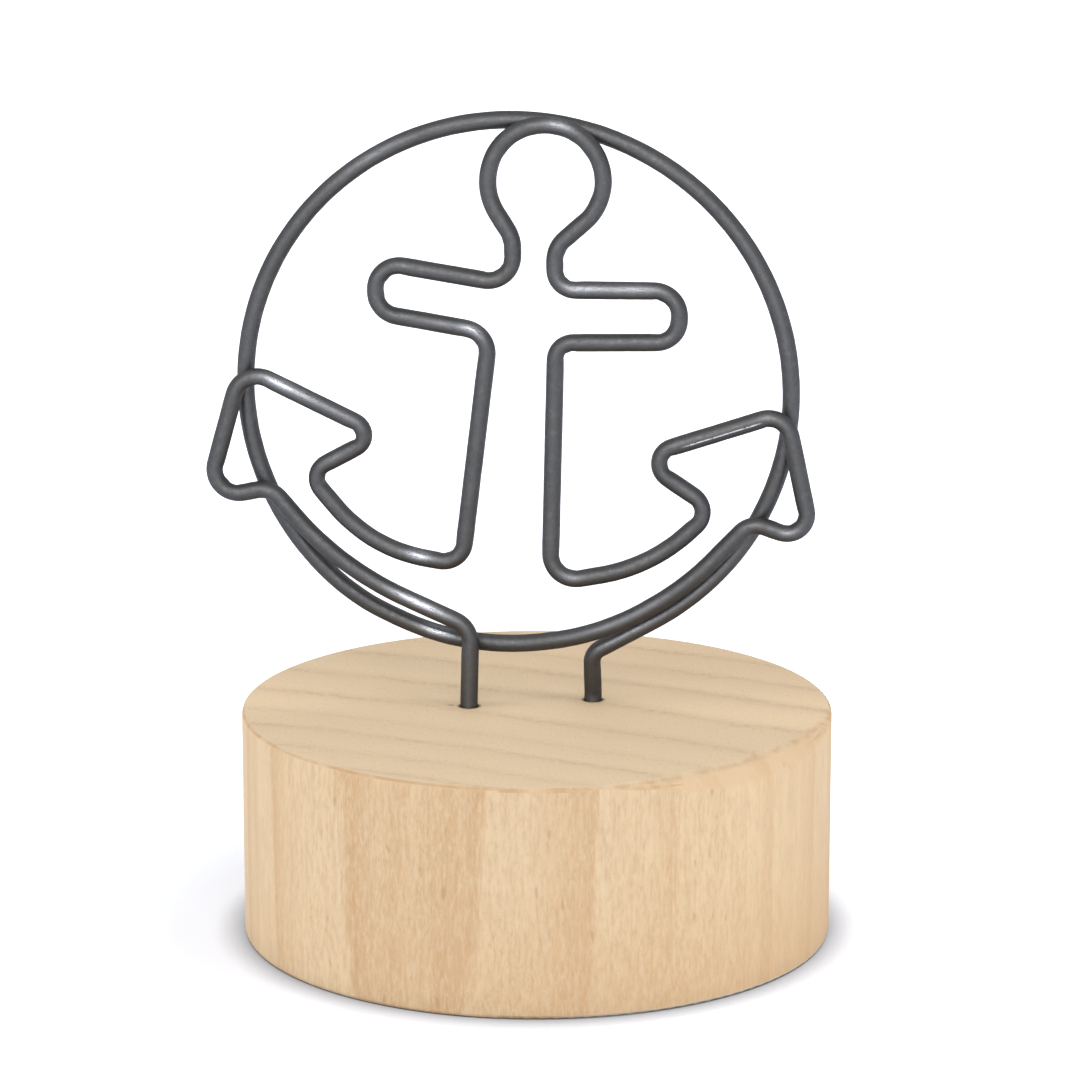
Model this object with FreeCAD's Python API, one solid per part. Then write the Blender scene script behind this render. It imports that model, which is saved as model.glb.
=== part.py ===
import FreeCAD, Part
import math
import os

# Memo clip holder: a turned wooden disc with one bent steel wire standing in two drilled holes.
# The wire draws an anchor in front of a ring, and a card is gripped between the two.
# Millimetres. Z is up, the clip faces -Y, and the origin is on the disc's axis at its underside.

# Wooden base
BASE_DIAMETER = 60.0
BASE_HEIGHT = 23.25
EDGE_RADIUS = 0.4              # eased top and bottom edges
SANDED_TOWARDS = 54.0          # degrees from the front to the right, where the top edge is sanded round most
SANDED_RADIUS = 3.1
SANDED_OFFSET = 11.5           # the rounding's axis from the disc's, so it fades to both sides
SANDED_CLEARANCE = 0.1         # the rounded cylinder outside the disc and over it
HOLE_CLEARANCE = 0.25          # hole diameter over the wire's
HOLE_DEPTH = 12.0
HOLE_LEFT = (-6.8, -1.3)       # x, y
HOLE_RIGHT = (5.5, 2.5)

# Wire and the clip's place over the base
WIRE_DIAMETER = 1.8
CLAMP_GAP = 0.1                # between the anchor and the ring, with no card in
CLIP_LEAN = 2.95               # degrees that the clip leans to the front
RING_RADIUS = 27.5             # all sizes of the clip are to the wire's centre line
RING_CLEARANCE = 4.3           # under the ring's circle, down to the base
RING_X = -2.0
RING_Y = -0.2
RING_START = 46.0              # degrees from the ring's lowest point to its start on the left
RING_END = 30.0                # and to its end on the right
RING_LEAD = 4.2                # straight tangent before the ring's start

# Legs
LEG_RISE = 0.8                 # upright above the base
FOOT_BEND = 3.0
LEG_LEFT_X = -4.6              # where the left leg bends into the anchor
LEG_LEFT_Z = -24.3
LEG_LEFT_FORWARD = 0.5         # in front of the anchor
LEG_LEFT_BEND = 2.5
LEG_RIGHT_X = 7.5              # where the ring's end bends into the right leg

# Bend radii
BEND = 2.2                     # most corners
SHARP_BEND = 1.8               # barbs of the flukes and right leg
ARM_TOP_BEND = 19.0            # long curves of the anchor's arms
ARM_LOW_BEND = 40.0
ARM_BEND = 28.0                # where the right arm follows the ring

# Anchor's corners, from the left leg over the top to the right fluke. Each is its x and z
# in the clip's plane, from the ring's centre, and its bend radius.
LEFT_ARM_LOW = [(-14.6, -20.0, ARM_LOW_BEND), (-20.3, -15.7, ARM_LOW_BEND), (-24.9, -10.2, BEND)]
LEFT_FLUKE = [(-31.55, -11.6, 2.35), (-27.55, 2.35, 2.5), (-13.5, -4.4, 1.5), (-21.1, -8.6, SHARP_BEND)]
LEFT_ARM_TOP = [(-16.45, -14.2, ARM_TOP_BEND), (-11.8, -16.8, ARM_TOP_BEND)]
SHANK_LEFT = [(-5.5, -17.85, BEND), (-2.45, 6.35, 2.5)]
STOCK_LEFT = [(-13.85, 8.2, 2.4), (-13.85, 13.4, 2.4)]
NECK_LEFT = [(-0.1, 11.25, 2.5), (-0.1, 16.0, 3.5)]
NECK_RIGHT = [(4.1, 15.1, 3.0), (4.1, 10.85, 2.0)]
STOCK_RIGHT = [(16.45, 10.95, 2.5), (16.45, 5.75, 2.3)]
SHANK_RIGHT = [(4.15, 5.45, SHARP_BEND), (3.45, -19.55, 2.5)]
RIGHT_ARM_TOP = [(11.4, -18.0, ARM_TOP_BEND), (15.8, -15.4, ARM_TOP_BEND)]
RIGHT_FLUKE = [(20.0, -11.4, 2.0), (12.3, -6.2, SHARP_BEND), (27.1, -1.15, BEND),
               (29.95, -14.7, 2.0), (23.7, -12.6, BEND)]

# Eye, the ring at the anchor's top
EYE_RADIUS = 5.7
EYE_X = 3.2
EYE_Z = 21.7
EYE_FOOT_LEFT = 1.8            # its straight sides' ends, under its centre
EYE_FOOT_RIGHT = 2.3

# Lower right arm along the ring: degrees to the right of the lowest point
ARM_TOUCH = 42.2
ARM_MIDDLE = 20.0
ARM_LOWEST = 0.0
ARM_JOINS = -16.0
ARM_INSET = 1.45               # inside the ring's circle at the first
ARM_MIDDLE_INSET = 1.15
ARM_LOWEST_INSET = 0.9
ARM_JOINS_INSET = 0.1
ARM_LOWEST_FORWARD = 0.5       # in front of the ring, as the arm falls back to its plane


def clip_point(x, z, forward=0.0):
    """A point of the clip, measured in its leaning plane from the ring's centre."""
    lean = math.radians(CLIP_LEAN)
    drop = RING_RADIUS * math.cos(lean)
    centre_z = BASE_HEIGHT + RING_CLEARANCE + WIRE_DIAMETER / 2 + drop
    y = RING_Y - z * math.sin(lean) - forward * math.cos(lean)
    return FreeCAD.Vector(RING_X + x, y, centre_z + z * math.cos(lean) - forward * math.sin(lean))


def ring_point(angle, inset=0.0, forward=0.0):
    """A point round the ring, by its angle to the right from the lowest point."""
    turn = math.radians(angle)
    radius = RING_RADIUS - inset
    return clip_point(radius * math.sin(turn), -radius * math.cos(turn), forward)


def ring_tangent(angle, distance):
    """A point on the ring's tangent at an angle, a distance along it to the right."""
    turn = math.radians(angle)
    x = RING_RADIUS * math.sin(turn) + distance * math.cos(turn)
    z = -RING_RADIUS * math.cos(turn) + distance * math.sin(turn)
    return clip_point(x, z)


def leg_corners(hole, bend):
    """The wire's end on the hole's floor and the slight turn above the base."""
    floor = FreeCAD.Vector(hole[0], hole[1], BASE_HEIGHT - HOLE_DEPTH)
    rise = FreeCAD.Vector(hole[0], hole[1], BASE_HEIGHT + LEG_RISE)
    return [(floor, 0.0), (rise, bend)]


def eye_corners():
    left = EYE_X - EYE_RADIUS
    right = EYE_X + EYE_RADIUS
    top = EYE_Z + EYE_RADIUS
    sides = [(left, EYE_Z - EYE_FOOT_LEFT), (left, top), (right, top), (right, EYE_Z - EYE_FOOT_RIGHT)]
    return [(x, z, EYE_RADIUS) for x, z in sides]


def anchor_corners(forward):
    """Corners of the anchor in its plane, in front of the ring's."""
    left = LEFT_ARM_LOW + LEFT_FLUKE + LEFT_ARM_TOP + SHANK_LEFT + STOCK_LEFT + NECK_LEFT
    right = NECK_RIGHT + STOCK_RIGHT + SHANK_RIGHT + RIGHT_ARM_TOP + RIGHT_FLUKE
    outline = left + eye_corners() + right
    return [(clip_point(x, z, forward), radius) for x, z, radius in outline]


def straight(start, end):
    """The straight edge between two arcs, or none where they meet."""
    if start.isEqual(end, 0.001):
        return []
    return [Part.LineSegment(start, end).toShape()]


def route_arcs(corners):
    """Edges of straight runs joined by tangent arcs at the corners."""
    points = [point for point, radius in corners]
    runs = [end.sub(start) for start, end in zip(points, points[1:])]
    halves = [0.0] + [a.getAngle(b) / 2 for a, b in zip(runs, runs[1:])] + [0.0]
    setbacks = [radius * math.tan(half) for (point, radius), half in zip(corners, halves)]
    room = [min(1.0, run.Length / (a + b)) for run, a, b in zip(runs, setbacks, setbacks[1:])]
    edges = []
    last = points[0]
    for index in range(1, len(points) - 1):
        corner = points[index]
        setback = setbacks[index] * min(room[index - 1], room[index])
        before = FreeCAD.Vector(runs[index - 1]).normalize()
        after = FreeCAD.Vector(runs[index]).normalize()
        start = corner - before * setback
        end = corner + after * setback
        radius = setback / math.tan(halves[index])
        inward = (after - before).normalize()
        middle = corner + inward * radius * (1 / math.cos(halves[index]) - 1)
        edges += straight(last, start)
        edges.append(Part.Arc(start, middle, end).toShape())
        last = end
    return edges + straight(last, points[-1])


def clip_path():
    """The wire's centre line, from the left leg's end to the right leg's."""
    front = WIRE_DIAMETER + CLAMP_GAP
    corners = leg_corners(HOLE_LEFT, FOOT_BEND)
    turn = clip_point(LEG_LEFT_X, LEG_LEFT_Z, front + LEG_LEFT_FORWARD)
    corners.append((turn, LEG_LEFT_BEND))
    corners += anchor_corners(front)
    # lower right arm, which falls back from the anchor's plane to the ring's
    corners.append((ring_point(ARM_TOUCH, ARM_INSET, front), ARM_BEND))
    corners.append((ring_point(ARM_MIDDLE, ARM_MIDDLE_INSET, front), ARM_BEND))
    corners.append((ring_point(ARM_LOWEST, ARM_LOWEST_INSET, ARM_LOWEST_FORWARD), ARM_BEND))
    corners.append((ring_point(ARM_JOINS, ARM_JOINS_INSET), ARM_BEND))
    corners.append((ring_tangent(-RING_START, RING_LEAD), ARM_BEND))
    corners.append((ring_point(-RING_START), 0.0))
    edges = route_arcs(corners)
    # ring, round from the lower left over the top to the lower right
    circle = Part.Arc(ring_point(-RING_START), ring_point(180.0), ring_point(RING_END))
    edges.append(circle.toShape())
    # tangent out of the ring, bent down into the right leg
    end = math.radians(RING_END)
    reach = (RING_RADIUS * math.sin(end) - LEG_RIGHT_X) / math.cos(end)
    corners = [(ring_point(RING_END), 0.0)]
    corners.append((ring_tangent(RING_END, -reach), SHARP_BEND))
    corners += reversed(leg_corners(HOLE_RIGHT, FOOT_BEND))
    edges += route_arcs(corners)
    return Part.Wire(edges)


def wire_clip():
    path = clip_path()
    start = path.OrderedVertexes[0].Point
    section = Part.Circle(start, FreeCAD.Vector(0, 0, 1), WIRE_DIAMETER / 2).toShape()
    return path.makePipeShell([Part.Wire(section)], True, False)


def sanded_round():
    """A round-edged cylinder beside the disc's axis. It rounds the disc's top edge on one side only."""
    turn = math.radians(SANDED_TOWARDS)
    foot = FreeCAD.Vector(-SANDED_OFFSET * math.sin(turn), SANDED_OFFSET * math.cos(turn), -BASE_HEIGHT)
    radius = BASE_DIAMETER / 2 + SANDED_OFFSET + SANDED_CLEARANCE
    block = Part.makeCylinder(radius, 2 * BASE_HEIGHT + SANDED_CLEARANCE, foot)
    rims = [edge for edge in block.Edges if isinstance(edge.Curve, Part.Circle) and edge.CenterOfMass.z > 0]
    return block.makeFillet(SANDED_RADIUS, rims)


def wooden_base():
    disc = Part.makeCylinder(BASE_DIAMETER / 2, BASE_HEIGHT)
    rims = [edge for edge in disc.Edges if isinstance(edge.Curve, Part.Circle)]
    base = disc.makeFillet(EDGE_RADIUS, rims).common(sanded_round())
    for x, y in (HOLE_LEFT, HOLE_RIGHT):
        floor = FreeCAD.Vector(x, y, BASE_HEIGHT - HOLE_DEPTH)
        base = base.cut(Part.makeCylinder((WIRE_DIAMETER + HOLE_CLEARANCE) / 2, HOLE_DEPTH, floor))
    return base.Solids[0]


os.makedirs("parts", exist_ok=True)
for name, solid in (("wooden_base", wooden_base()), ("wire_clip", wire_clip())):
    solid.exportStep("parts/" + name + ".step")
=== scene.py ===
import math

import bpy
import numpy as np
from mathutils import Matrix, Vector, noise


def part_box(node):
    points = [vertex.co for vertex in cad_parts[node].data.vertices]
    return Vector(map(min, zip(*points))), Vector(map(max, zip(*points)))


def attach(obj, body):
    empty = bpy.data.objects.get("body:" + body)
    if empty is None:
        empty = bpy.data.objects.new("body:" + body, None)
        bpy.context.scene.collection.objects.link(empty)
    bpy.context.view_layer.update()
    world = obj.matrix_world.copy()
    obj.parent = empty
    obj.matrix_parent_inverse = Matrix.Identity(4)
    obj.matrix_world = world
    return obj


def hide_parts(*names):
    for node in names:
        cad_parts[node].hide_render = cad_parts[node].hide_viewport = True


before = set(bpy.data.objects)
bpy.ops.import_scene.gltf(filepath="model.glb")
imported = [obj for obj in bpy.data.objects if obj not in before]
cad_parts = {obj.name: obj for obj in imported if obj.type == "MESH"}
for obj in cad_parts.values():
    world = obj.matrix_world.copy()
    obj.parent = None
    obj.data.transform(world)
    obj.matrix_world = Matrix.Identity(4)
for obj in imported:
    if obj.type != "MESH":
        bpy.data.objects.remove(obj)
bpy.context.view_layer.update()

MM = 0.001

# Sizes, in millimetres
BASE_LOW, BASE_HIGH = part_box("wooden_base")
BASE_HEIGHT = BASE_HIGH[2] / MM
BASE_RADIUS = (BASE_HIGH[0] - BASE_LOW[0]) / 2 / MM
HOLE_DEPTH = 12.0
HOLE_LEFT = (-6.8, -1.3)
HOLE_RIGHT = (5.5, 2.5)
HOLE_RADIUS = 1.025

WIRE_RADIUS = 0.9
CLAMP_GAP = 0.1                 # between the anchor and the ring
FRONT = 2 * WIRE_RADIUS + CLAMP_GAP     # the anchor's plane in front of the ring's
CLIP_LEAN = math.radians(2.95)
RING_RADIUS = 27.5
RING_CLEARANCE = 4.3            # between the wire of the ring and the base
RING_X = -2.0
RING_Y = -0.2
RING_START = 46.0               # degrees from the ring's lowest point to its start on the left
RING_END = 30.0                 # and to its end on the right
RING_LEAD = 4.2                 # from the right arm's last corner to the ring's start
LEG_RISE = 0.8                  # from the base's top to a leg's lowest corner
FOOT_BEND = 3.0                 # bend radius at that corner
LEG_LEFT = (-4.6, -24.3)        # corner between the left leg and the anchor
LEG_LEFT_FORWARD = 0.5          # that corner is this far in front of the anchor
LEG_LEFT_BEND = 2.5
LEG_RIGHT_X = 7.5               # corner between the ring's end and the right leg
LEG_RIGHT_BEND = 1.8
ARM_BEND = 28.0                 # bend radius of the right arm's corners beside the ring

# Corners of the anchor from the left leg to the right fluke: x, z in the clip's plane, bend radius
ANCHOR = [
    (-14.6, -20.0, 40.0), (-20.3, -15.7, 40.0), (-24.9, -10.2, 2.2),
    (-31.55, -11.6, 2.35), (-27.55, 2.35, 2.5), (-13.5, -4.4, 1.5), (-21.1, -8.6, 1.8),
    (-16.45, -14.2, 19.0), (-11.8, -16.8, 19.0),
    (-5.5, -17.85, 2.2), (-2.45, 6.35, 2.5),
    (-13.85, 8.2, 2.4), (-13.85, 13.4, 2.4), (-0.1, 11.25, 2.5),
    (-0.1, 16.0, 3.5), (-2.5, 19.9, 5.7), (-2.5, 27.4, 5.7), (8.9, 27.4, 5.7), (8.9, 19.4, 5.7),
    (4.1, 15.1, 3.0),
    (4.1, 10.85, 2.0), (16.45, 10.95, 2.5), (16.45, 5.75, 2.3), (4.15, 5.45, 1.8),
    (3.45, -19.55, 2.5),
    (11.4, -18.0, 19.0), (15.8, -15.4, 19.0),
    (20.0, -11.4, 2.0), (12.3, -6.2, 1.8), (27.1, -1.15, 2.2), (29.95, -14.7, 2.0),
    (23.7, -12.6, 2.2),
]
# Lower right arm, which falls back to the ring: degrees to the right of the ring's lowest point,
# distance inside its circle, distance in front of its plane
RIGHT_ARM_LOW = [(42.2, 1.45, FRONT), (20.0, 1.15, FRONT), (0.0, 0.9, 0.5), (-16.0, 0.1, 0.0)]

# The wire's centre line

ARC_POINTS = 25                 # points along a bend
RING_POINTS = 500               # and round the ring
SPACING = 0.3                   # mm between the finished line's points
SAME_PLACE = 1e-6               # mm, points nearer than this are one


def unit(vector):
    return vector / np.linalg.norm(vector)


def clip_point(x, z, forward=0.0):
    """A point of the clip, measured in its leaning plane from the ring's centre."""
    lean, upright = math.sin(CLIP_LEAN), math.cos(CLIP_LEAN)
    centre_z = BASE_HEIGHT + RING_CLEARANCE + WIRE_RADIUS + RING_RADIUS * upright
    return np.array([
        RING_X + x,
        RING_Y - z * lean - forward * upright,
        centre_z + z * upright - forward * lean,
    ])


def ring_point(angle, inset=0.0, forward=0.0):
    """A point round the ring, by its angle to the right from the lowest point."""
    turn = math.radians(angle)
    radius = RING_RADIUS - inset
    return clip_point(radius * math.sin(turn), -radius * math.cos(turn), forward)


def ring_tangent(angle, distance):
    """A point on the ring's tangent at an angle, a distance along it to the right."""
    turn = math.radians(angle)
    return clip_point(
        RING_RADIUS * math.sin(turn) + distance * math.cos(turn),
        -RING_RADIUS * math.cos(turn) + distance * math.sin(turn),
    )


def bend_points(start, end, centre, half):
    """Points of an arc from start to end round a centre. Half is half the angle it turns by."""
    points = []
    for part in np.linspace(0, 1, ARC_POINTS):
        from_start = math.sin((1 - part) * 2 * half)
        from_end = math.sin(part * 2 * half)
        out = (start - centre) * from_start + (end - centre) * from_end
        points.append(centre + out / math.sin(2 * half))
    return points


def rounded(corners):
    """Points along straight runs joined by tangent arcs at the corners."""
    points = [corner[0] for corner in corners]
    runs = [b - a for a, b in zip(points, points[1:])]
    ways = [unit(run) for run in runs]
    halves = [math.acos(np.clip(a @ b, -1, 1)) / 2 for a, b in zip(ways, ways[1:])]
    halves = [0.0] + halves + [0.0]
    setbacks = [radius * math.tan(half) for (_, radius), half in zip(corners, halves)]
    lengths = [np.linalg.norm(run) for run in runs]
    room = [min(1.0, length / (a + b)) for length, a, b in zip(lengths, setbacks, setbacks[1:])]
    path = [points[0]]
    for index in range(1, len(points) - 1):
        half = halves[index]
        setback = setbacks[index] * min(room[index - 1], room[index])
        radius = setback / math.tan(half)
        start = points[index] - ways[index - 1] * setback
        end = points[index] + ways[index] * setback
        inward = unit(ways[index] - ways[index - 1])
        centre = points[index] + inward * radius / math.cos(half)
        path += bend_points(start, end, centre, half)
    return path + [points[-1]]


def leg(hole):
    """The wire's end on the hole's floor and the slight turn above the base."""
    floor = np.array([hole[0], hole[1], BASE_HEIGHT - HOLE_DEPTH])
    return [(floor, 0.0), (floor + (0, 0, HOLE_DEPTH + LEG_RISE), FOOT_BEND)]


def wire_path():
    """The wire's centre line from the left leg's end to the right leg's, and the distances along it."""
    corners = leg(HOLE_LEFT)
    corners.append((clip_point(*LEG_LEFT, FRONT + LEG_LEFT_FORWARD), LEG_LEFT_BEND))
    corners += [(clip_point(x, z, FRONT), bend) for x, z, bend in ANCHOR]
    corners += [(ring_point(*place), ARM_BEND) for place in RIGHT_ARM_LOW]
    corners.append((ring_tangent(-RING_START, RING_LEAD), ARM_BEND))
    corners.append((ring_point(-RING_START), 0.0))
    path = rounded(corners)
    path += [ring_point(angle) for angle in np.linspace(-RING_START, RING_END - 360, RING_POINTS)]
    turn = math.radians(RING_END)
    reach = (RING_RADIUS * math.sin(turn) - LEG_RIGHT_X) / math.cos(turn)
    corners = [(ring_point(RING_END), 0.0), (ring_tangent(RING_END, -reach), LEG_RIGHT_BEND)]
    path += rounded(corners + leg(HOLE_RIGHT)[::-1])
    path = np.array(path)
    keep = np.r_[True, np.linalg.norm(np.diff(path, axis=0), axis=1) > SAME_PLACE]
    path = path[keep]
    along = np.r_[0, np.cumsum(np.linalg.norm(np.diff(path, axis=0), axis=1))]
    even = np.linspace(0, along[-1], int(along[-1] / SPACING) + 1)
    return np.stack([np.interp(even, along, path[:, axis]) for axis in range(3)], axis=1), even


# The wire's mesh

AROUND = 28                     # sides of the wire
CURVE_BLUR = 1.5                # points of the line that its curve is smoothed over
TIGHT = 2.2                     # mm, a bend of this radius or less counts as tight in full
STRAIGHT = 1e-4                 # 1/mm, a smaller curve counts as none
FLATTENED = 0.03                # share of its radius that a tight bend loses in its plane
WRINKLE = 0.11                  # mm, on the inner side of a tight bend
WRINKLE_SCALE = 1.1             # noise scale of the wrinkles
WRINKLE_DROP = 0.4              # taken off their noise, so that most of them go inward
HANDLING = 0.016                # mm, dents all over
DENT_SCALE, RIPPLE_SCALE = 0.5, 1.6     # noise scales of the wide and of the close dents
RIPPLE_SHARE = 0.6              # of the close dents, beside the wide ones
DENT_DROP = 0.6                 # taken off their noise, so that most of them go inward
ROUND_SCALE = 2.0               # the noise changes this much faster round the wire than along it
# Rubbed patches, which also carry a painted highlight on the side facing the lamp: distance along the wire,
# half length, strength
WEAR_AND_HIGHLIGHT_SPOTS = [
    (25.8, 2.8, 0.95), (65.6, 1.5, 0.9), (68.4, 2.0, 0.45), (72.5, 2.0, 0.2), (80.0, 1.5, 0.15),
    (96.5, 1.1, 0.9), (125.0, 1.1, 0.75), (128.2, 2.0, 0.12), (171.6, 1.3, 0.45), (193.6, 2.6, 0.52),
    (198.8, 2.4, 0.42), (243.5, 1.2, 0.22), (278.5, 0.8, 0.15), (293.0, 1.2, 0.3), (313.5, 7.0, 0.2),
    (333.4, 1.5, 0.9), (396.0, 3.0, 0.25), (476.0, 6.0, 0.4), (485.5, 4.0, 0.45),
]
WEAR_AND_HIGHLIGHT_SIDE = unit(np.array([0.1, -0.89, 0.45]))    # the way those patches face, where their highlight is painted
WEAR_AND_HIGHLIGHT_NARROW = 5               # the higher, the narrower they are round the wire


def smoothed(rows, width):
    """Rows of values blurred along the wire by a bell curve, width in points."""
    reach = int(3 * width)
    bell = np.exp(-0.5 * (np.arange(-reach, reach + 1) / width) ** 2)
    bell /= bell.sum()
    padded = np.pad(rows, [(reach, reach), (0, 0)], mode="edge")
    return np.stack([np.convolve(column, bell, mode="valid") for column in padded.T], axis=1)


def wear_and_highlight_at(distance):
    """How rubbed the wire is at a distance along it, with its painted highlight."""
    return sum(
        strength * math.exp(-(((distance - place) / half) ** 2))
        for place, half, strength in WEAR_AND_HIGHLIGHT_SPOTS
    )


def skin_radius(place, tight, inward):
    """The wire's radius at a place on its skin, never more than the round wire's."""
    wrinkles = noise.noise(place * WRINKLE_SCALE) - WRINKLE_DROP
    dents = noise.noise(place * DENT_SCALE) + RIPPLE_SHARE * noise.noise(place * RIPPLE_SCALE)
    radius = WIRE_RADIUS * (1 - FLATTENED * tight * inward ** 2)
    radius += WRINKLE * tight * max(0.0, inward) ** 2 * wrinkles
    radius += HANDLING * (dents - DENT_DROP)
    return min(radius, WIRE_RADIUS)


def tube_faces(rings):
    """Faces of a tube of rings of points, with its two ends."""
    faces = []
    for ring in range(rings - 1):
        here, there = ring * AROUND, (ring + 1) * AROUND
        for step in range(AROUND):
            following = (step + 1) % AROUND
            faces.append((here + step, here + following, there + following, there + step))
    last = (rings - 1) * AROUND
    return faces + [tuple(range(AROUND))[::-1], tuple(range(last, last + AROUND))]


def wire_mesh():
    """The wire's skin, with its place on the straightened wire and its rubbing and painted highlight kept
    for the material.
    """
    path, along = wire_path()
    ways = np.gradient(path, axis=0)
    ways /= np.linalg.norm(ways, axis=1)[:, None]
    curve = smoothed(np.gradient(ways, axis=0) / along[1], CURVE_BLUR)
    side = np.array([1.0, 0.0, 0.0])
    vertices, straight, wear_and_highlight_values = [], [], []
    for index, (centre, way) in enumerate(zip(path, ways)):
        side = unit(side - way * (side @ way))
        across = np.cross(way, side)
        bend = np.linalg.norm(curve[index])
        tight = min(1.0, bend * TIGHT)
        inner = curve[index] / bend if bend > STRAIGHT else side
        wear_and_highlight = wear_and_highlight_at(along[index])
        for step in range(AROUND):
            angle = 2 * math.pi * step / AROUND
            out = side * math.cos(angle) + across * math.sin(angle)
            flat_x, flat_y = WIRE_RADIUS * math.cos(angle), WIRE_RADIUS * math.sin(angle)
            place = Vector((along[index], flat_x * ROUND_SCALE, flat_y * ROUND_SCALE))
            vertices.append((centre + out * skin_radius(place, tight, out @ inner)) * MM)
            straight.append((along[index] * MM, flat_x * MM, flat_y * MM))
            # rubbing and painted highlight, kept to the side that faces the lamp
            wear_and_highlight_values.append(wear_and_highlight * max(0.0, out @ WEAR_AND_HIGHLIGHT_SIDE) ** WEAR_AND_HIGHLIGHT_NARROW)
    mesh = bpy.data.meshes.new("steel_wire")
    faces = tube_faces(len(path))
    mesh.from_pydata([tuple(vertex) for vertex in vertices], [], faces)
    mesh.attributes.new("straight", "FLOAT_VECTOR", "POINT").data.foreach_set("vector", np.ravel(straight))
    mesh.attributes.new("wear_and_highlight_mask", "FLOAT", "POINT").data.foreach_set("value", wear_and_highlight_values)
    mesh.polygons.foreach_set("use_smooth", [len(face) == 4 for face in faces])
    return mesh


# Node helpers


class Shading:
    """A material's node tree, built one node at a time. An input takes a value or another's output."""

    def __init__(self, name):
        self.material = bpy.data.materials.new(name)
        self.material.use_nodes = True
        self.tree = self.material.node_tree
        self.tree.nodes.clear()

    def add(self, kind, inputs=None, **settings):
        made = self.tree.nodes.new(kind)
        for key, value in settings.items():
            setattr(made, key, value)
        for key, value in (inputs or {}).items():
            if isinstance(value, bpy.types.NodeSocket):
                self.tree.links.new(value, made.inputs[key])
            else:
                made.inputs[key].default_value = value
        return made

    def math(self, operation, *values, clamp=False):
        made = self.add("ShaderNodeMath", dict(enumerate(values)), operation=operation, use_clamp=clamp)
        return made.outputs[0]

    def times(self, first, *others):
        for other in others:
            first = self.math("MULTIPLY", first, other)
        return first

    def scaled(self, vector, factor):
        made = self.add("ShaderNodeVectorMath", {0: vector, "Scale": factor}, operation="SCALE")
        return made.outputs["Vector"]

    def distance(self, where, point):
        return self.add("ShaderNodeVectorMath", {0: where, 1: point}, operation="DISTANCE").outputs["Value"]

    def parts(self, vector):
        """A vector's x, y and z."""
        return self.add("ShaderNodeSeparateXYZ", {0: vector}).outputs

    def joined(self, x, y, z):
        return self.add("ShaderNodeCombineXYZ", {0: x, 1: y, 2: z}).outputs[0]

    def noise(self, where, scale, detail=2.0, roughness=0.5):
        inputs = {"Vector": where, "Scale": scale, "Detail": detail, "Roughness": roughness}
        return self.add("ShaderNodeTexNoise", inputs).outputs["Fac"]

    def band(self, value, low, high, to_low=0.0, to_high=1.0):
        """Value taken from low..high to to_low..to_high, smoothly."""
        inputs = {"Value": value, "From Min": low, "From Max": high, "To Min": to_low, "To Max": to_high}
        made = self.add("ShaderNodeMapRange", inputs, interpolation_type="SMOOTHSTEP")
        return made.outputs["Result"]

    def mix(self, factor, first, second):
        return self.add("ShaderNodeMix", {0: factor, 6: first, 7: second}, data_type="RGBA").outputs[2]

    def bump(self, height, strength, depth):
        inputs = {"Height": height, "Strength": strength, "Distance": depth}
        return self.add("ShaderNodeBump", inputs).outputs[0]

    def finish(self, shader):
        self.add("ShaderNodeOutputMaterial", {"Surface": shader})
        return self.material


def colour(red, green, blue):
    """A screen colour, 0 to 255, as the renderer's linear one."""
    def linear(value):
        value /= 255
        return value / 12.92 if value <= 0.04045 else ((value + 0.055) / 1.055) ** 2.4
    return (linear(red), linear(green), linear(blue), 1.0)


# Wood

PITH = (-88.6, -255.9, 0.0)     # mm, the tree's heart, far in front of the disc
RING_ZERO = 265.8               # mm from the heart to the growth ring by the left leg
# Dark edges of the growth rings, mm outward from that one: how dark on the top, and on the side
GROWTH = [
    (-29.0, 0.6, 0.6), (-23.6, 0.7, 0.8), (-18.3, 0.55, 0.7), (-12.1, 0.75, 0.4), (-7.2, 0.4, 0.15),
    (0.0, 0.75, 0.35), (8.4, 0.8, 0.3), (16.9, 1.0, 0.7), (23.2, 0.75, 0.6), (29.8, 1.0, 0.7),
    (36.0, 0.7, 0.7),
]
RING_TILT = 0.025               # the rings lean by this much over the height
GRAIN_DEPTH = 0.04              # mm, the grain's bump

# Places of the marks, in millimetres. A pair says where one starts and where it is full.
PAINTED_LIGHT_Y = 2.0                  # painted light: the top is palest along this line, where the clip's shadow falls
PAINTED_LIGHT_REACH = (14.0, 2.0)      # from that line
WARM_HEIGHT, WARM_X = (16.0, 0.0), (-9.0, 0.0)      # the side is warmer low on the right
FAINT_X = (2.0, 12.0)           # its streaks are fainter on the right
CALM_REACH = (19.0, 28.0)       # and its patterns towards both ends, from the axis outward
EASED_START, EASED_FULL = 0.5, 0.4      # inward from the rim, the eased edge
LINE_START, LINE_FULL = 0.8, 0.65       # down from the top, the brown line along the edge
BOTTOM_LIGHT_HEIGHT, BOTTOM_LIGHT_X = (0.5, 0.2), (2.0, 10.0)       # painted light: a pale line low on the right, where the bottom edge catches light from the floor
RIM_WIDTH = 0.35                # dark rim of a hole
SMUDGE = (-8.7, -1.2)           # a mark beside the left leg
SMUDGE_REACH = (0.55, 0.1)      # from its middle

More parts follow.
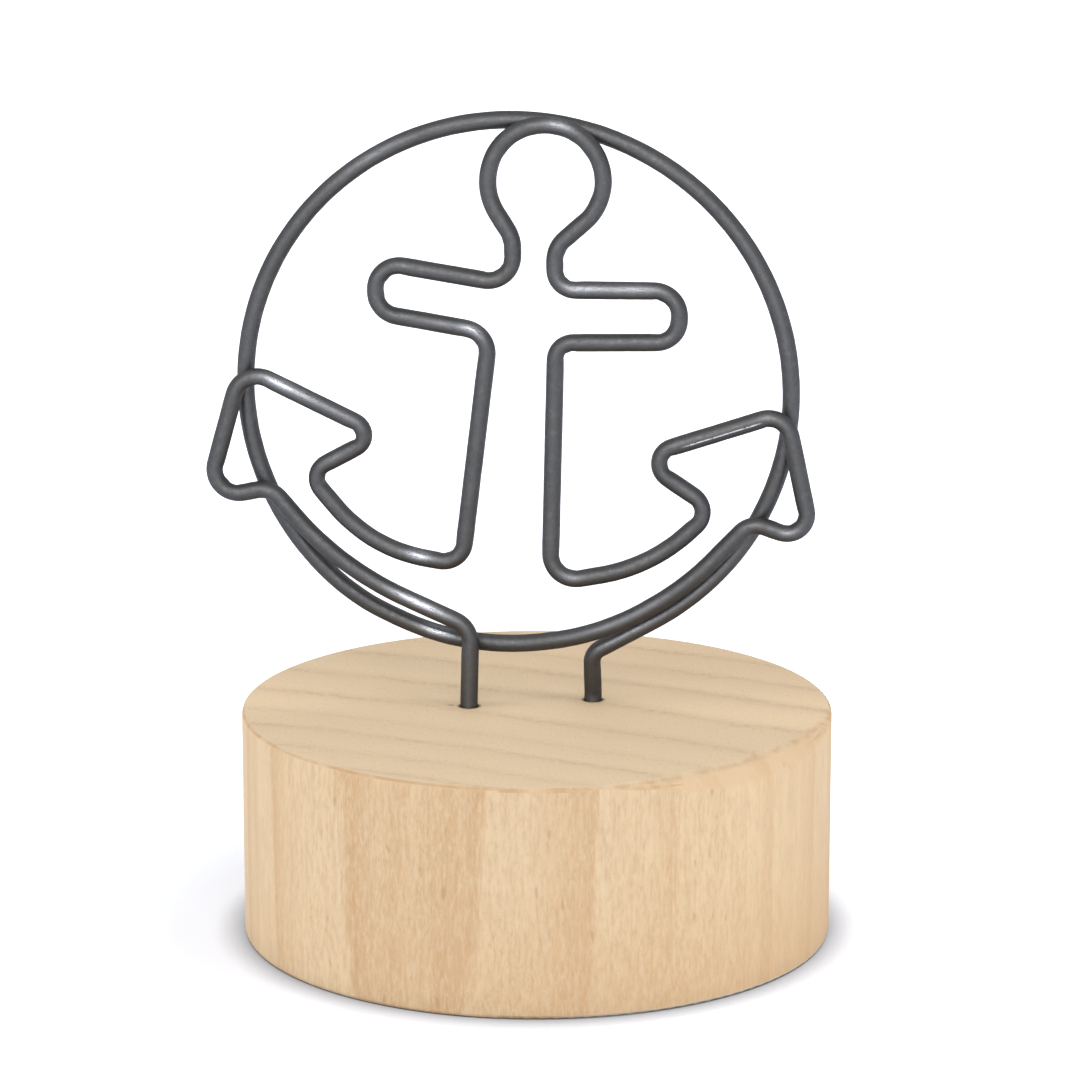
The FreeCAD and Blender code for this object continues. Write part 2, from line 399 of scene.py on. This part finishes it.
# Patterns: share of the height that counts (the less, the longer along the fibres), noise scale,
# detail, roughness
FINE = (0.25, 5.0, 4, 0.7)
HAIR = (0.06, 3.6, 2, 0.5)
SHORT = (0.35, 2.2, 3, 0.6)
PATCH = (0.4, 0.35, 2, 0.5)
BLOTCH = (0.3, 0.8, 3, 0.5)
FLECK = (0.35, 1.1, 1, 0.5)
DRIFT = (0.03, 0.5, 3, 0.6)
LINE_BREAKS = (0.0, 0.9, 4, 0.7)
LINE_FADING = (0.0, 0.12, 1, 0.5)
CLOUD = (0.0, 0.15, 3, 0.6)
EDGE_BREAKS = (0.0, 0.45, 4, 0.5)
# Waves in the growth rings: pattern, and mm that it shifts a ring
WAVES = [((0.08, 0.07, 1, 0.6), 2.0), ((0.08, 0.55, 4, 0.6), 1.5), ((0.08, 3.5, 2, 0.6), 0.5)]
# Specks on the top: stretch along each axis, noise scale, detail, roughness
SPECK_STRETCH = (1.0, 0.45, 1.0)
SPECK = (3.4, 3, 0.7)

TOP_FRONT = colour(229, 205, 171)
TOP_BACK_SHADE = colour(227, 201, 167)
TOP_PAINTED_LIGHT = colour(245, 219, 182)
TOP_LATE = colour(201, 174, 139)
TOP_LINE = colour(174, 141, 109)
TOP_SPECK_DARK = colour(190, 162, 129)
TOP_SPECK_PALE = colour(243, 225, 196)
TOP_CLOUD = colour(212, 187, 156)
SIDE_EARLY = colour(241, 213, 174)
SIDE_LATE = colour(218, 177, 130)
SIDE_BLOTCH = colour(229, 198, 160)
SIDE_WARM = colour(222, 183, 136)
STREAK_DARK = colour(204, 161, 117)
STREAK_PALE = colour(244, 224, 190)
SHORT_DARK = colour(208, 164, 119)
SHORT_PALE = colour(243, 221, 188)
FLECK_BROWN = colour(178, 140, 100)
ROUNDING_SHADE = colour(200, 168, 134)
EDGE_BROWN = colour(197, 157, 115)
BOTTOM_EDGE_LIGHT = colour(243, 226, 202)
HOLE_RIM = colour(122, 82, 60)
SMUDGE_BROWN = colour(160, 126, 94)


class Wood(Shading):
    """Pale wood with its fibres upright: end grain on the top, side grain round it."""

    def __init__(self):
        super().__init__("pale_wood")
        coords = self.add("ShaderNodeTexCoord").outputs
        self.x, self.y, self.z = self.parts(self.scaled(coords["Object"], 1 / MM))
        self.upright = self.parts(coords["Normal"])[2]
        self.flat = self.fibres(0.0)
        self.outward = self.ring_distance()
        self.across, self.dark_top, self.dark_side = self.ring_place()
        self.fine = self.pattern(*FINE)
        self.line = self.ring_line()

    def fibres(self, share):
        """The place with its height shortened, so that a pattern runs on along the fibres."""
        return self.joined(self.x, self.y, self.times(self.z, share))

    def pattern(self, share, scale, detail, roughness):
        return self.noise(self.fibres(share), scale, detail, roughness)

    def ring_distance(self):
        """Distance outward through the growth rings, a little wavy."""
        distance = self.math("SUBTRACT", self.distance(self.flat, PITH), RING_ZERO)
        height = self.math("SUBTRACT", self.z, BASE_HEIGHT)
        distance = self.math("MULTIPLY_ADD", height, -RING_TILT, distance)
        for pattern, reach in WAVES:
            wave = self.math("SUBTRACT", self.pattern(*pattern), 0.5)
            distance = self.math("MULTIPLY_ADD", wave, reach, distance)
        return distance

    def ring_place(self):
        """How far across its growth ring the place is, and that ring's darkness on top and side."""
        low, high, last = GROWTH[0][0], GROWTH[-1][0], len(GROWTH) - 1
        inputs = {"Value": self.outward, "From Min": low, "From Max": high}
        ramp = self.add("ShaderNodeValToRGB", {0: self.add("ShaderNodeMapRange", inputs).outputs[0]})
        stops = ramp.color_ramp.elements
        for edge, _, _ in GROWTH[1:-1]:
            stops.new((edge - low) / (high - low))
        for number, (_, on_top, on_side) in enumerate(GROWTH):
            stops[number].color = (number / last, on_top, on_side, 1.0)
        number, on_top, on_side = self.add("ShaderNodeSeparateColor", {0: ramp.outputs[0]}).outputs
        return self.math("FRACT", self.times(number, last)), on_top, on_side

    def ring_line(self):
        """The broken dark line at each growth ring's edge, as it shows on the top."""
        line = self.math("ADD", self.band(self.across, 0.82, 0.97), self.band(self.across, 0.06, 0.0))
        breaks = self.band(self.pattern(*LINE_BREAKS), 0.40, 0.60)
        fading = self.band(self.pattern(*LINE_FADING), 0.35, 0.6, 0.35, 1.0)
        return self.times(self.dark_top, line, breaks, fading)

    def end_grain(self):
        """The top: dark late wood and a line at each ring's edge, specks, faint clouds, painted shade
        towards the back and painted light along the middle.
        """
        across = self.across
        # painted shade: the top darkens a little towards the back
        top = self.mix(self.band(self.outward, 10.0, 30.0), TOP_FRONT, TOP_BACK_SHADE)
        # painted light along the middle of the top, against the clip's shadow
        from_painted_light = self.math("ABSOLUTE", self.math("SUBTRACT", self.y, PAINTED_LIGHT_Y))
        top = self.mix(self.band(from_painted_light, *PAINTED_LIGHT_REACH, 0.0, 0.75), top, TOP_PAINTED_LIGHT)
        late = self.math("ADD", self.math("POWER", across, 2.8), self.band(across, 0.0, 0.26, 0.8, 0.0))
        top = self.mix(self.times(self.dark_top, late, 0.40), top, TOP_LATE)
        top = self.mix(self.times(self.line, 0.34), top, TOP_LINE)
        stretched = self.add("ShaderNodeVectorMath", {0: self.flat, 1: SPECK_STRETCH}, operation="MULTIPLY")
        speck = self.noise(stretched.outputs["Vector"], *SPECK)
        top = self.mix(self.band(speck, 0.44, 0.30, 0.0, 0.4), top, TOP_SPECK_DARK)
        top = self.mix(self.band(speck, 0.56, 0.70, 0.0, 0.4), top, TOP_SPECK_PALE)
        return self.mix(self.times(self.pattern(*CLOUD), 0.15), top, TOP_CLOUD)

    def side_grain(self):
        """The side: warmer, with wide dark rings, upright streaks and soft blotches, and painted shade on
        the rounded edge.
        """
        late = self.times(self.math("POWER", self.across, 2.3), self.band(self.across, 1.0, 0.91))
        late = self.times(self.dark_side, 1.2, late)
        drift = self.math("SUBTRACT", self.pattern(*DRIFT), 0.5)
        late = self.math("MULTIPLY_ADD", drift, 0.9, late, clamp=True)
        plain = self.mix(late, SIDE_EARLY, SIDE_LATE)
        plain = self.mix(self.band(self.pattern(*BLOTCH), 0.42, 0.58, 0.0, 0.3), plain, SIDE_BLOTCH)
        warm = self.times(self.band(self.z, *WARM_HEIGHT, 0.0, 0.45), self.band(self.x, *WARM_X))
        plain = self.mix(warm, plain, SIDE_WARM)

        fine, hair, short = self.fine, self.pattern(*HAIR), self.pattern(*SHORT)
        patch = self.band(self.pattern(*PATCH), 0.36, 0.64, 0.35, 1.0)
        patch = self.times(patch, self.band(self.x, *FAINT_X, 1.0, 0.7))
        side = self.mix(self.band(hair, 0.50, 0.62, 0.0, 0.15), plain, STREAK_DARK)
        side = self.mix(self.band(short, 0.50, 0.64, 0.0, 0.20), side, SHORT_DARK)
        side = self.mix(self.band(short, 0.50, 0.36, 0.0, 0.25), side, SHORT_PALE)
        side = self.mix(self.times(self.band(fine, 0.52, 0.66, 0.0, 0.32), patch), side, STREAK_DARK)
        side = self.mix(self.times(self.band(fine, 0.48, 0.34, 0.0, 0.38), patch), side, STREAK_PALE)
        side = self.mix(self.band(self.pattern(*FLECK), 0.72, 0.78, 0.0, 0.3), side, FLECK_BROWN)

        # calmer at the left and right ends and on the rounded edge
        ends = self.band(self.math("ABSOLUTE", self.x), *CALM_REACH, 0.0, 0.65)
        rounding = self.band(self.upright, 0.05, 0.3, 0.0, 0.7)
        side = self.mix(self.math("MAXIMUM", ends, rounding), side, plain)
        # painted shade: darker where the rounded edge turns up towards the top
        return self.mix(self.band(self.upright, 0.05, 0.6, 0.0, 0.3), side, ROUNDING_SHADE)

    def with_edges(self, wood):
        """Brown line along the top edge, a painted light line low on the right, rims of the holes, a
        smudge.
        """
        outer = self.distance(self.flat, (0.0, 0.0, 0.0))
        steep = self.band(outer, BASE_RADIUS - EASED_START, BASE_RADIUS - EASED_FULL, 0.79, 0.30)
        edge = self.times(
            self.band(self.math("SUBTRACT", self.upright, steep), 0.0, 0.12),
            self.band(self.upright, 0.98, 0.9),
            self.band(self.z, BASE_HEIGHT - LINE_START, BASE_HEIGHT - LINE_FULL),
            self.band(self.pattern(*EDGE_BREAKS), 0.40, 0.62, 0.1, 0.6),
        )
        wood = self.mix(edge, wood, EDGE_BROWN)
        # painted light along the bottom edge on the right
        pale = self.times(self.band(self.z, *BOTTOM_LIGHT_HEIGHT), self.band(self.x, *BOTTOM_LIGHT_X))
        wood = self.mix(pale, wood, BOTTOM_EDGE_LIGHT)
        for hole in (HOLE_LEFT, HOLE_RIGHT):
            away = self.distance(self.flat, (*hole, 0.0))
            rim = self.band(away, HOLE_RADIUS + RIM_WIDTH, HOLE_RADIUS, 0.0, 0.7)
            wood = self.mix(rim, wood, HOLE_RIM)
        away = self.distance(self.flat, (*SMUDGE, 0.0))
        return self.mix(self.band(away, *SMUDGE_REACH, 0.0, 0.55), wood, SMUDGE_BROWN)


def wood_material():
    s = Wood()
    wood = s.mix(s.band(s.upright, 0.75, 0.95), s.side_grain(), s.end_grain())
    shader = s.add("ShaderNodeBsdfPrincipled", {
        "Base Color": s.with_edges(wood),
        "Roughness": s.band(s.fine, 0.3, 0.7, 0.58, 0.72),
        "Normal": s.bump(s.math("MULTIPLY_ADD", s.line, 0.3, s.fine), 0.3, GRAIN_DEPTH * MM),
        "Specular IOR Level": 0.2,
    })
    return s.finish(shader.outputs[0])


# Steel

# Scratch drawn along the right fluke: its start and end along the wire, its angle round it
SCRATCH = (269.3, 278.2, -1.86)
FADE_IN, FADE_OUT = 1.5, 0.8    # mm that it fades over at its two ends
SCRATCH_SIDES = (0.10, 0.04)    # radians from its middle, where it starts and is full
DRAWN_DEPTH = 0.03              # mm, the bump of grit and drawn lines
DRAWN = 0.12                    # share of the wire's length that counts for the long drawn lines
# Patterns: noise scale, detail, roughness
LINES = (9.0, 4, 0.65)
GRIT = (6.5, 4, 0.7)
MOTTLE = (1.6, 4, 0.65)
PATCHES = (0.22, 3, 0.55)
STAIN = (0.35, 2, 0.5)

STEEL_DARK = colour(72, 72, 73)
STEEL_PALE = colour(88, 88, 89)
STAINED = colour(84, 81, 78)
MOTTLED_PALE = colour(106, 107, 111)
MOTTLED_DARK = colour(62, 61, 62)
GRITTY = colour(56, 56, 58)
# painted highlight colour of the rubbed patches
WEAR_AND_HIGHLIGHT = colour(172, 174, 181)
SCRATCHED = colour(196, 196, 202)
GRAZING_TINT = (0.69, 0.7, 0.73, 1.0)


def steel_material():
    s = Shading("dark_steel_wire")
    straight = s.add("ShaderNodeAttribute", attribute_name="straight").outputs["Vector"]
    wear_and_highlight_mask = s.add("ShaderNodeAttribute", attribute_name="wear_and_highlight_mask").outputs["Fac"]
    place = s.scaled(straight, 1 / MM)
    along, across, over = s.parts(place)
    lines = s.noise(s.joined(s.times(along, DRAWN), across, over), *LINES)
    grit = s.noise(place, *GRIT)
    mottle = s.noise(place, *MOTTLE)
    patches = s.noise(place, *PATCHES)
    stain = s.band(s.noise(place, *STAIN), 0.56, 0.72)

    # rubbed patches, bright in specks and painted as highlights, and one scratch along the wire
    speck = s.band(s.math("MULTIPLY_ADD", lines, 0.6, s.times(grit, 0.4)), 0.36, 0.52)
    wear_and_highlight_amount = s.times(wear_and_highlight_mask, speck)
    start, end, turn = SCRATCH
    beside = s.math("ABSOLUTE", s.math("SUBTRACT", s.math("ARCTAN2", over, across), turn))
    scratch = s.times(
        s.band(along, start, start + FADE_IN), s.band(along, end, end - FADE_OUT),
        s.band(beside, *SCRATCH_SIDES), s.band(grit, 0.36, 0.52),
    )

    steel = s.mix(patches, STEEL_DARK, STEEL_PALE)
    steel = s.mix(s.times(stain, 0.4), steel, STAINED)
    steel = s.mix(s.band(mottle, 0.54, 0.68, 0.0, 0.2), steel, MOTTLED_PALE)
    steel = s.mix(s.band(mottle, 0.44, 0.32, 0.0, 0.2), steel, MOTTLED_DARK)
    steel = s.mix(s.band(grit, 0.46, 0.30, 0.0, 0.25), steel, GRITTY)
    # painted highlight: the rubbed patches turn near white on the side facing the lamp
    steel = s.mix(s.times(wear_and_highlight_amount, 0.8), steel, WEAR_AND_HIGHLIGHT)
    steel = s.mix(scratch, steel, SCRATCHED)
    rough = s.math("ADD", s.band(lines, 0.3, 0.7, 0.46, 0.58), s.band(mottle, 0.36, 0.66, 0.03, -0.05))
    shader = s.add("ShaderNodeBsdfPrincipled", {
        "Base Color": steel,
        "Roughness": s.math("MULTIPLY_ADD", wear_and_highlight_amount, -0.30, rough),
        "Normal": s.bump(s.math("MULTIPLY_ADD", lines, 0.5, grit), 0.6, DRAWN_DEPTH * MM),
        "Metallic": 1.0,
        "Specular Tint": GRAZING_TINT,
    })
    return s.finish(shader.outputs[0])


# The object

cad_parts["wooden_base"].data.materials.clear()
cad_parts["wooden_base"].data.materials.append(wood_material())

wire = bpy.data.objects.new("bent_wire", wire_mesh())
wire.data.materials.append(steel_material())
bpy.context.scene.collection.objects.link(wire)
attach(wire, "root")
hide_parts("wire_clip")

# Floor and background, in metres

FLOOR_SIZE = 6.0
# The floor's own light for the camera fades it into the white background: its strengths, and the
# distances from the base's axis that they hold at
LIFT_NEAR, LIFT_ROUND, LIFT_FAR = 0.30, 0.60, 1.0
LIFT_AT = (0.034, 0.06, 0.25)
LIFT_RIGHT = 0.12               # added on the right, where the base's shade is fainter
CONTACT = 0.0036                # the painted contact shadow under the base's rim reaches out this far
FLOOR_TONES = [(0.75, 0.78, 0.85, 1), (0.79, 0.82, 0.89, 1)]
FLOOR_GRAIN = 900.0             # noise scale of the two tones
FLOOR_GLOW = (0.95, 0.975, 1.03, 1.0)


def floor_material():
    """Pale matt floor that keeps its shadow, with a painted contact shadow near the base, lifted to white
    for the camera and for reflections.
    """
    s = Shading("pale_floor")
    rays = s.add("ShaderNodeLightPath").outputs
    mirrored = s.math("MAXIMUM", rays["Is Glossy Ray"], rays["Is Transmission Ray"])
    seen = s.math("MAXIMUM", rays["Is Camera Ray"], mirrored)
    place = s.add("ShaderNodeTexCoord").outputs["Object"]
    away = s.distance(place, (0.0, 0.0, 0.0))
    near, middle, far = LIFT_AT
    lift = s.band(away, near, middle, LIFT_NEAR, LIFT_ROUND)
    lift = s.math("ADD", lift, s.band(away, middle, far, 0.0, LIFT_FAR - LIFT_ROUND))
    lift = s.math("ADD", lift, s.band(s.parts(place)[0], 0.0, BASE_RADIUS * MM, 0.0, LIFT_RIGHT))
    # painted contact shadow: ambient occlusion near the base darkens the floor's colour and its glow
    open_sky = s.add("ShaderNodeAmbientOcclusion", {"Distance": CONTACT}, samples=8).outputs["AO"]
    tone = s.mix(s.noise(place, FLOOR_GRAIN), *FLOOR_TONES)
    matt = s.add("ShaderNodeBsdfDiffuse", {"Color": s.scaled(tone, open_sky)})
    glow = s.add("ShaderNodeEmission", {"Color": FLOOR_GLOW, "Strength": s.times(seen, lift, open_sky)})
    return s.finish(s.add("ShaderNodeAddShader", {0: matt.outputs[0], 1: glow.outputs[0]}).outputs[0])


bpy.ops.mesh.primitive_plane_add(size=FLOOR_SIZE)
floor = bpy.context.active_object
floor.name = "floor"
floor.data.materials.append(floor_material())

# World: white to look at and in reflections, softer as a light
SKY_LIGHT = 0.36

world = bpy.data.worlds.new("studio")
bpy.context.scene.world = world
world.use_nodes = True
sky = world.node_tree
sky.nodes.clear()
paths = sky.nodes.new("ShaderNodeLightPath")
diffuse = sky.nodes.new("ShaderNodeMapRange")
diffuse.inputs["To Min"].default_value = 1.0
diffuse.inputs["To Max"].default_value = SKY_LIGHT
sky.links.new(paths.outputs["Is Diffuse Ray"], diffuse.inputs["Value"])
background = sky.nodes.new("ShaderNodeBackground")
background.inputs["Color"].default_value = (1, 1, 1, 1)
sky.links.new(diffuse.outputs[0], background.inputs["Strength"])
output = sky.nodes.new("ShaderNodeOutputWorld")
sky.links.new(background.outputs[0], output.inputs["Surface"])

# Lights: places and sizes in metres, power in watts

AIM = Vector((0.0, 0.0, 0.04))


def softbox(name, place, size, power, mirrored=False):
    """A lamp for the plain light, or one that is only seen mirrored in gloss."""
    lamp = bpy.data.lights.new(name, "AREA")
    lamp.shape = "RECTANGLE"
    lamp.size, lamp.size_y = size
    lamp.energy = power
    made = bpy.data.objects.new(name, lamp)
    made.location = place
    made.rotation_euler = (AIM - Vector(place)).to_track_quat("-Z", "Y").to_euler()
    made.visible_glossy = mirrored
    made.visible_diffuse = not mirrored
    bpy.context.scene.collection.objects.link(made)


softbox("top_light", (0.1, -0.15, 1.25), (2.2, 1.8), 9.5)
softbox("right_light", (0.9, -0.3, 0.45), (0.6, 0.6), 2.9)
softbox("left_light", (-0.9, -0.3, 0.45), (0.6, 0.6), 3.0)
softbox("front_light", (0.1, -1.0, 0.6), (0.8, 0.5), 2.5)
softbox("front_gloss", (-0.08, -1.0, 0.5), (1.1, 0.85), 13.5, mirrored=True)

# Camera: place, lens and sensor in millimetres, angles in degrees

CAMERA_AT = (48.02, -434.88, 145.61)
CAMERA_TILT = 76.49             # 90 is level
CAMERA_TURN = 6.26              # to the left
LENS = 148.49
SENSOR_WIDTH = 36.0
NEAREST, FARTHEST = 0.01, 20.0  # metres that it sees between

lens = bpy.data.cameras.new("camera")
lens.lens = LENS
lens.sensor_width = SENSOR_WIDTH
lens.clip_start, lens.clip_end = NEAREST, FARTHEST
camera = bpy.data.objects.new("camera", lens)
camera.location = [value * MM for value in CAMERA_AT]
camera.rotation_euler = (math.radians(CAMERA_TILT), 0.0, math.radians(CAMERA_TURN))
bpy.context.scene.collection.objects.link(camera)
bpy.context.scene.camera = camera
bpy.context.scene.view_settings.view_transform = "Standard"
